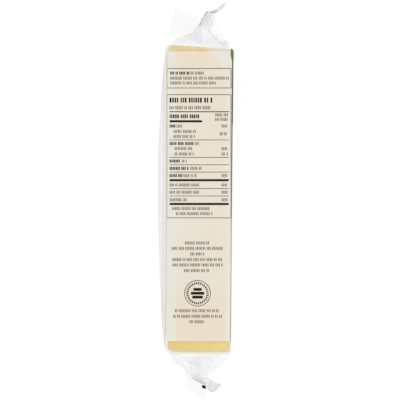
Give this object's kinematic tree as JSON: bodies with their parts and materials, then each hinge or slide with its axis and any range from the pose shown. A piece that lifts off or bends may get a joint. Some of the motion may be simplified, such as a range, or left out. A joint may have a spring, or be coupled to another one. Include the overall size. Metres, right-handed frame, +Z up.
{
  "type": "film-wrapped cheddar cheese block",
  "caption": "Block of cheddar cheese sealed in clear printed flow-wrap film with gathered, crimped ends, lying on its long narrow side.",
  "frame": {"origin": "centre of the long narrow side that the pack rests on", "axes": "+Z up, from the side it rests on to the side shown; +Y along the length, to the head end of the wrapper; +X to the front face of the pack, away from the fin"},
  "size_m": [0.043, 0.2229, 0.0634],
  "materials": {
    "cheese": "smooth, moist, pale yellow cheddar",
    "film": "clear glossy film with translucent cream and green print"
  },
  "bodies": {
    "root": {"cheese_block": "cheese", "film_wrapper": "film"}
  },
  "joints": []
}
